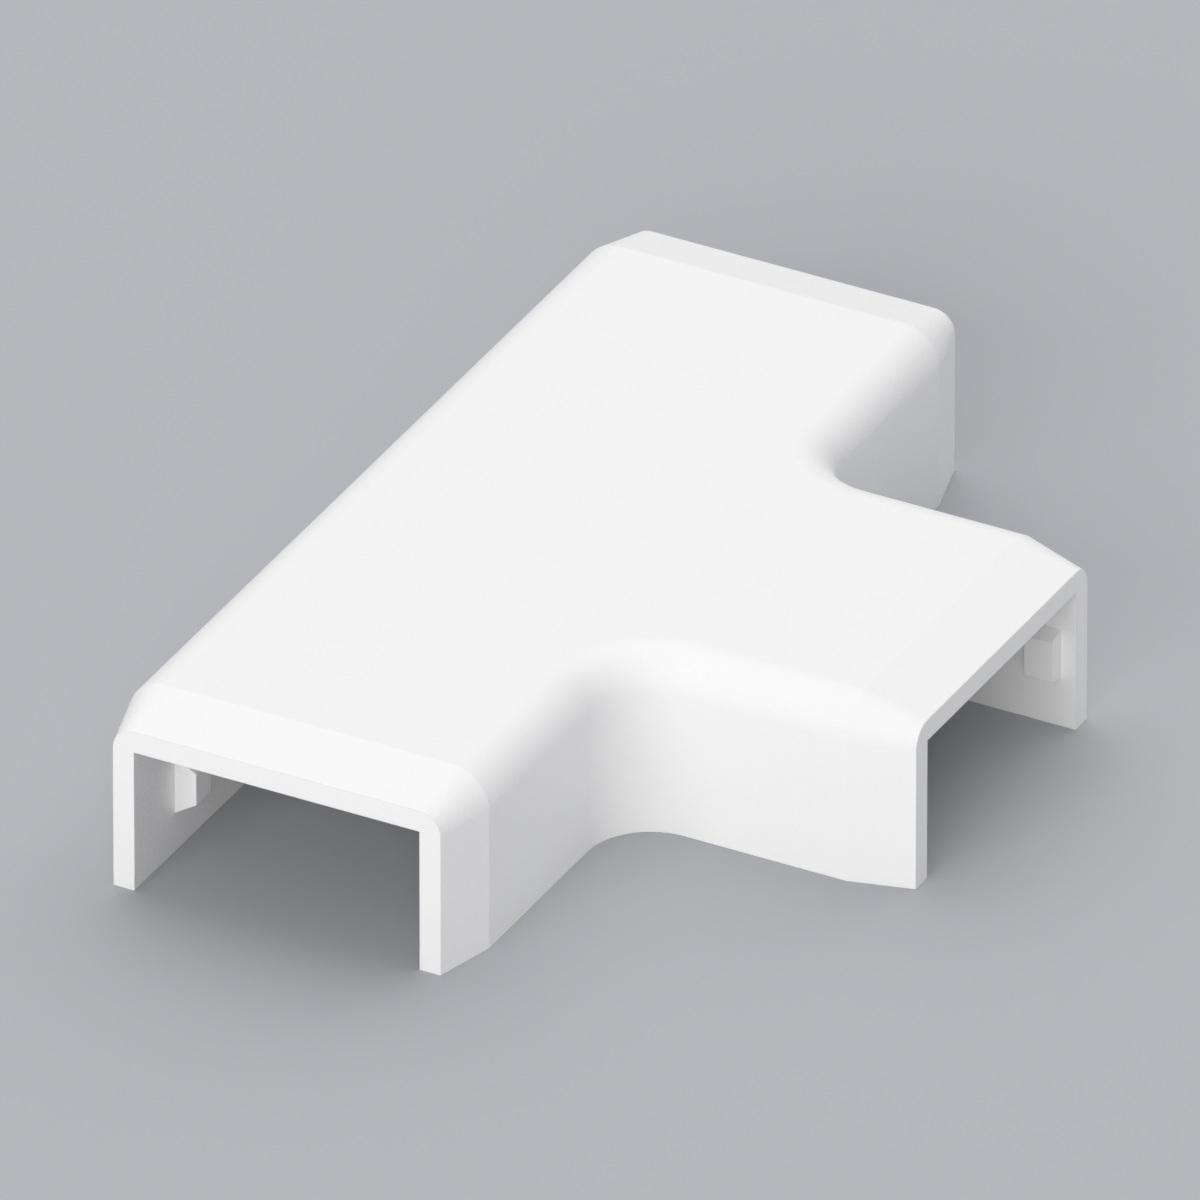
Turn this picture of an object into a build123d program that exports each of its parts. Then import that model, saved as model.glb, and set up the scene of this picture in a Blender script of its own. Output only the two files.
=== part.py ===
"""Equal tee for mini trunking: a one-piece moulded cover, open at its base and at its three mouths.

The run lies along X and the branch leaves towards -Y. The base plane is Z = 0, against the wall,
and the origin is where the axes of the run and the branch cross on that plane.
"""
import os

from build123d import *

# Driving dimensions in millimetres

trunking_width = 20.0  # outside of the trunking that the mouths take
trunking_height = 10.0
side_clearance = 0.1  # on each side of the trunking
top_clearance = 0.1

run_length = 69.2  # mouth to mouth
branch_reach = 33.0  # axis of the run to the branch mouth

body_wall = 2.65
end_wall = 1.5  # thinned at each mouth
bevel_length = 4.3  # along the axis, where the wall thins from body to mouth
junction_radius = 4.45  # concave corner in plan between the run and the branch

lug_length = 2.0  # along the axis
run_lug_depth = 5.3  # mouth to the front of the lug
run_lug_reach = 1.55  # out from the side wall
run_lug_root = 4.25  # height at the wall
run_lug_tip = 2.25  # height at the tip
run_lug_middle = 4.95  # mid-height above the base
branch_lug_depth = 1.1
branch_lug_reach = 1.2
branch_lug_root = 3.65
branch_lug_tip = 2.9
branch_lug_middle = 5.25

# Sizes that follow

channel_width = trunking_width + 2 * side_clearance
channel_height = trunking_height + top_clearance
body_width = channel_width + 2 * body_wall
body_height = channel_height + body_wall
body_run = run_length - 2 * bevel_length
body_reach = branch_reach - bevel_length

# Mouth planes: each faces outwards from its end, with its own Y axis pointing up

run_mouths = [
    Plane(origin=(side * run_length / 2, 0, 0), x_dir=(0, side, 0), z_dir=(side, 0, 0))
    for side in (-1, 1)
]
branch_mouth = Plane(origin=(0, -branch_reach, 0), x_dir=(1, 0, 0), z_dir=(0, -1, 0))


def tee_plan(width, run, reach, corner_radius):
    """Draw a tee in plan, with its two inner corners rounded."""
    Rectangle(run, width)
    Rectangle(width, reach, align=(Align.CENTER, Align.MAX))
    fillet(vertices().sort_by_distance((0, 0, 0))[:2], corner_radius)


def cover_section(wall):
    """Draw the filled section of the cover, its shoulders round about the channel's corners."""
    Rectangle(channel_width + 2 * wall, channel_height + wall, align=(Align.CENTER, Align.MIN))
    fillet(vertices().group_by(Axis.Y)[-1], wall)


def lug_pair(reach, root, tip, middle):
    """Draw the sections of two lugs that face each other across the channel."""
    side = channel_width / 2
    Polygon(
        (side, middle - root / 2),
        (side, middle + root / 2),
        (side - reach, middle + tip / 2),
        (side - reach, middle - tip / 2),
        align=None,
    )
    mirror(about=Plane.YZ)


with BuildPart() as tee_cover:
    # Body: the tee in plan, with round shoulders that run on through the junction
    with BuildSketch():
        tee_plan(body_width, body_run, body_reach, junction_radius)
    extrude(amount=body_height)
    top_edges = faces().sort_by(Axis.Z)[-1].edges()
    run_ends = top_edges.sort_by(Axis.X)
    mouth_edges = [run_ends[0], run_ends[-1], top_edges.sort_by(Axis.Y)[0]]
    fillet(top_edges - mouth_edges, body_wall)

    # Mouths: the top and both sides taper in to the thin end wall
    for mouth in [*run_mouths, branch_mouth]:
        with BuildSketch(mouth.offset(-bevel_length)):
            cover_section(body_wall)
        with BuildSketch(mouth):
            cover_section(end_wall)
        loft(ruled=True)

    # Channel: a straight tee from the base, with an even wall round the junction
    with BuildSketch():
        tee_plan(channel_width, run_length, branch_reach, junction_radius + body_wall)
    extrude(amount=channel_height, mode=Mode.SUBTRACT)

    # Lugs: a facing pair inside each mouth
    for mouth in run_mouths:
        with BuildSketch(mouth.offset(-run_lug_depth)):
            lug_pair(run_lug_reach, run_lug_root, run_lug_tip, run_lug_middle)
        extrude(amount=-lug_length)
    with BuildSketch(branch_mouth.offset(-branch_lug_depth)):
        lug_pair(branch_lug_reach, branch_lug_root, branch_lug_tip, branch_lug_middle)
    extrude(amount=-lug_length)

os.makedirs("parts", exist_ok=True)
tee_cover.part.label = "tee_cover"
export_step(tee_cover.part, "parts/tee_cover.step")
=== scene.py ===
import math

import bpy
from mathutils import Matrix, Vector


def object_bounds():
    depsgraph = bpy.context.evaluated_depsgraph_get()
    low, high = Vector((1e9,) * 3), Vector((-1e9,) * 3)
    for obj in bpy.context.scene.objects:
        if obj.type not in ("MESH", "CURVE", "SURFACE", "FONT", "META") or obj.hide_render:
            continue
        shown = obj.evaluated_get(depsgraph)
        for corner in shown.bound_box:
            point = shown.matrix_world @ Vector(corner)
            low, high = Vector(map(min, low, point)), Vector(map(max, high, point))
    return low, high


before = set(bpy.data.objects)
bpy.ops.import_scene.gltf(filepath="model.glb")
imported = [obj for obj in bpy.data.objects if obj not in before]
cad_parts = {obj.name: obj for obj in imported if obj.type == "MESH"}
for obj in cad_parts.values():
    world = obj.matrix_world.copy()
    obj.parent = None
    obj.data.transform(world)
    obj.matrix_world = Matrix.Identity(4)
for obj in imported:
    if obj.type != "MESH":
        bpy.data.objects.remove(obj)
cad_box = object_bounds()

# Lengths are in metres and angles in degrees, unless a name says otherwise
MM = 0.001

# The photograph's frame and view. It has no perspective, so the lens is long, and the angle, scale and
# origin are those that fit the photograph best through that lens.
IMAGE_PIXELS = 1200
PIXELS_PER_MM = 15.88
ORIGIN_PIXEL = (536.9, 676.3)
VIEW_AZIMUTH = -62.08
VIEW_ELEVATION = 31.16
VIEW_DEPTH = 2  # where the view ends, in camera distances
LENS_MM = 1500
SENSOR_MM = 36

# The studio, with lamp directions from the part to the lamp
FLOOR_HALF = 3.0
FLOOR_GAP = 0.01 * MM
FLOOR_COLOR = (0.465, 0.475, 0.497, 1)
FLOOR_ROUGHNESS = 0.9
FLOOR_SPECULAR = 0.0
FLOOR_FADE = (0.2, 0.5)  # distances from the part's origin
SKY_COLOR = (0.935, 0.95, 1.0, 1)
SKY_STRENGTH = 0.482  # the tone of the lit floor, which fades into it
LAMP_DISTANCE = 2.0
LAMP_COLOR = (1.0, 0.978, 0.955)
KEY_DIRECTION = (-0.97, -0.12, 0.16)
KEY_SIZE = 2.0
KEY_WATTS = 42.3
TOP_DIRECTION = (0.57, 0.12, 0.81)
TOP_SIZE = 3.3
TOP_WATTS = 35.5

# The plastic
PALE_TINT = (0.888, 0.888, 0.884, 1)
DEEP_TINT = (0.872, 0.872, 0.866, 1)
TINT_SIZE = 14 * MM
TINT_DETAIL = 2
PEEL_SIZE = 3.2 * MM
PEEL_DETAIL = 1
PEEL_HEIGHT = 0.03 * MM
GRAIN_SIZE = 0.3 * MM
GRAIN_DETAIL = 2
GRAIN_HEIGHT = 0.024 * MM
ROUGHNESS = (0.46, 0.63)
EDGE_RADIUS = 0.1 * MM

# Shading of the CAD mesh
WELD_DISTANCE = 0.001 * MM
CREASE_ANGLE = 12  # facets of a round surface meet at less than this, creases at more


def new_material(name):
    """A node material with its shader, ready for more nodes."""
    material = bpy.data.materials.new(name)
    material.use_nodes = True
    nodes = material.node_tree.nodes
    return material, nodes, material.node_tree.links, nodes["Principled BSDF"]


def add_noise(nodes, links, place, size, detail):
    """Noise with spots of about the given size, fixed to the part."""
    noise = nodes.new("ShaderNodeTexNoise")
    noise.inputs["Scale"].default_value = 1 / size
    noise.inputs["Detail"].default_value = detail
    links.new(place.outputs["Object"], noise.inputs["Vector"])
    return noise


def add_bump(nodes, links, noise, height, normal):
    """Relief of the given height, on top of another normal."""
    bump = nodes.new("ShaderNodeBump")
    bump.inputs["Distance"].default_value = height
    links.new(noise.outputs["Fac"], bump.inputs["Height"])
    links.new(normal.outputs["Normal"], bump.inputs["Normal"])
    return bump


def white_plastic():
    """Satin white moulded plastic: faint tints, a slight waviness, a fine grain and soft edges."""
    material, nodes, links, shader = new_material("white_plastic_finish")
    place = nodes.new("ShaderNodeTexCoord")
    patches = add_noise(nodes, links, place, TINT_SIZE, TINT_DETAIL)
    peel = add_noise(nodes, links, place, PEEL_SIZE, PEEL_DETAIL)
    grain = add_noise(nodes, links, place, GRAIN_SIZE, GRAIN_DETAIL)

    tint = nodes.new("ShaderNodeMix")
    tint.data_type = "RGBA"
    tint.inputs["A"].default_value = DEEP_TINT
    tint.inputs["B"].default_value = PALE_TINT
    links.new(patches.outputs["Fac"], tint.inputs["Factor"])
    links.new(tint.outputs["Result"], shader.inputs["Base Color"])

    rough = nodes.new("ShaderNodeMapRange")
    rough.inputs["To Min"].default_value = ROUGHNESS[0]
    rough.inputs["To Max"].default_value = ROUGHNESS[1]
    links.new(grain.outputs["Fac"], rough.inputs["Value"])
    links.new(rough.outputs["Result"], shader.inputs["Roughness"])

    edges = nodes.new("ShaderNodeBevel")
    edges.inputs["Radius"].default_value = EDGE_RADIUS
    waves = add_bump(nodes, links, peel, PEEL_HEIGHT, edges)
    relief = add_bump(nodes, links, grain, GRAIN_HEIGHT, waves)
    links.new(relief.outputs["Normal"], shader.inputs["Normal"])
    return material


def pale_floor():
    """Matt pale floor that fades into the sky far from the part."""
    material, nodes, links, shader = new_material("floor_paint")
    shader.inputs["Base Color"].default_value = FLOOR_COLOR
    shader.inputs["Roughness"].default_value = FLOOR_ROUGHNESS
    shader.inputs["Specular IOR Level"].default_value = FLOOR_SPECULAR
    place = nodes.new("ShaderNodeTexCoord")
    reach = nodes.new("ShaderNodeVectorMath")
    reach.operation = "LENGTH"
    fade = nodes.new("ShaderNodeMapRange")
    fade.interpolation_type = "SMOOTHSTEP"
    fade.inputs["From Min"].default_value = FLOOR_FADE[0]
    fade.inputs["From Max"].default_value = FLOOR_FADE[1]
    clear = nodes.new("ShaderNodeBsdfTransparent")
    mix = nodes.new("ShaderNodeMixShader")
    links.new(place.outputs["Object"], reach.inputs[0])
    links.new(reach.outputs["Value"], fade.inputs["Value"])
    links.new(fade.outputs["Result"], mix.inputs["Fac"])
    links.new(shader.outputs["BSDF"], mix.inputs[1])
    links.new(clear.outputs["BSDF"], mix.inputs[2])
    links.new(mix.outputs["Shader"], nodes["Material Output"].inputs["Surface"])
    return material


def add_floor():
    """A wide floor under the part's rim."""
    low = cad_box[0].z - FLOOR_GAP
    sides = [(-1, -1), (1, -1), (1, 1), (-1, 1)]
    corners = [(x * FLOOR_HALF, y * FLOOR_HALF, low) for x, y in sides]
    mesh = bpy.data.meshes.new("floor")
    mesh.from_pydata(corners, [], [(0, 1, 2, 3)])
    mesh.materials.append(pale_floor())
    floor = bpy.data.objects.new("floor", mesh)
    bpy.context.scene.collection.objects.link(floor)


def add_sky():
    """Even, slightly cool light from all round."""
    world = bpy.data.worlds.new("studio")
    world.use_nodes = True
    background = world.node_tree.nodes["Background"]
    background.inputs["Color"].default_value = SKY_COLOR
    background.inputs["Strength"].default_value = SKY_STRENGTH
    bpy.context.scene.world = world


def add_softbox(name, direction, size, watts, gloss):
    """A square soft light that faces the part's middle. Only with gloss is it mirrored in surfaces."""
    light = bpy.data.lights.new(name, "AREA")
    light.size = size
    light.color = LAMP_COLOR
    light.energy = watts
    lamp = bpy.data.objects.new(name, light)
    way = Vector(direction).normalized()
    lamp.location = (cad_box[0] + cad_box[1]) / 2 + way * LAMP_DISTANCE
    lamp.rotation_euler = (-way).to_track_quat("-Z", "Y").to_euler()
    lamp.visible_camera = False
    lamp.visible_glossy = gloss
    bpy.context.scene.collection.objects.link(lamp)


def add_camera():
    """A long lens at the photograph's angle, framed by the pixel where the part's origin falls."""
    azimuth = math.radians(VIEW_AZIMUTH)
    elevation = math.radians(VIEW_ELEVATION)
    right = Vector((math.cos(azimuth), math.sin(azimuth), 0))
    back = Vector((
        math.sin(azimuth) * math.cos(elevation),
        -math.cos(azimuth) * math.cos(elevation),
        math.sin(elevation),
    ))
    up = back.cross(right)
    pixel = MM / PIXELS_PER_MM
    across = (IMAGE_PIXELS / 2 - ORIGIN_PIXEL[0]) * pixel
    above = (ORIGIN_PIXEL[1] - IMAGE_PIXELS / 2) * pixel
    distance = IMAGE_PIXELS * pixel * LENS_MM / SENSOR_MM
    data = bpy.data.cameras.new("camera")
    data.lens = LENS_MM
    data.sensor_width = SENSOR_MM
    data.clip_end = VIEW_DEPTH * distance
    camera = bpy.data.objects.new("camera", data)
    camera.location = right * across + up * above + back * distance
    camera.rotation_euler = (-back).to_track_quat("-Z", "Y").to_euler()
    bpy.context.scene.collection.objects.link(camera)
    bpy.context.scene.camera = camera


def smooth_shading(piece):
    """Weld the seams of the mesh and shade it smooth up to its creases, with modifiers alone."""
    tree = bpy.data.node_groups.new("weld_and_crease", "GeometryNodeTree")
    tree.interface.new_socket("Geometry", in_out="INPUT", socket_type="NodeSocketGeometry")
    tree.interface.new_socket("Geometry", in_out="OUTPUT", socket_type="NodeSocketGeometry")
    nodes = tree.nodes
    start = nodes.new("NodeGroupInput")
    weld = nodes.new("GeometryNodeMergeByDistance")
    weld.inputs["Distance"].default_value = WELD_DISTANCE
    angle = nodes.new("GeometryNodeInputMeshEdgeAngle")
    crease = nodes.new("FunctionNodeCompare")
    crease.operation = "GREATER_THAN"
    crease.inputs["B"].default_value = math.radians(CREASE_ANGLE)
    normals = nodes.new("GeometryNodeSetMeshNormal")
    normals.mode = "SHARPNESS"
    normals.inputs["Remove Custom"].default_value = True
    end = nodes.new("NodeGroupOutput")
    links = tree.links
    links.new(start.outputs["Geometry"], weld.inputs["Geometry"])
    links.new(weld.outputs["Geometry"], normals.inputs["Mesh"])
    links.new(angle.outputs["Unsigned Angle"], crease.inputs["A"])
    links.new(crease.outputs["Result"], normals.inputs["Edge Sharpness"])
    links.new(normals.outputs["Mesh"], end.inputs["Geometry"])
    piece.modifiers.new("weld_and_crease", "NODES").node_group = tree
    flats = piece.modifiers.new("flats_first", "WEIGHTED_NORMAL")
    flats.mode = "FACE_AREA"
    flats.keep_sharp = True


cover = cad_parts["tee_cover"]
cover.material_slots[0].material = white_plastic()
smooth_shading(cover)

add_floor()
add_sky()
add_softbox("key", KEY_DIRECTION, KEY_SIZE, KEY_WATTS, gloss=False)
add_softbox("top", TOP_DIRECTION, TOP_SIZE, TOP_WATTS, gloss=True)
add_camera()
bpy.context.scene.view_settings.view_transform = "Standard"
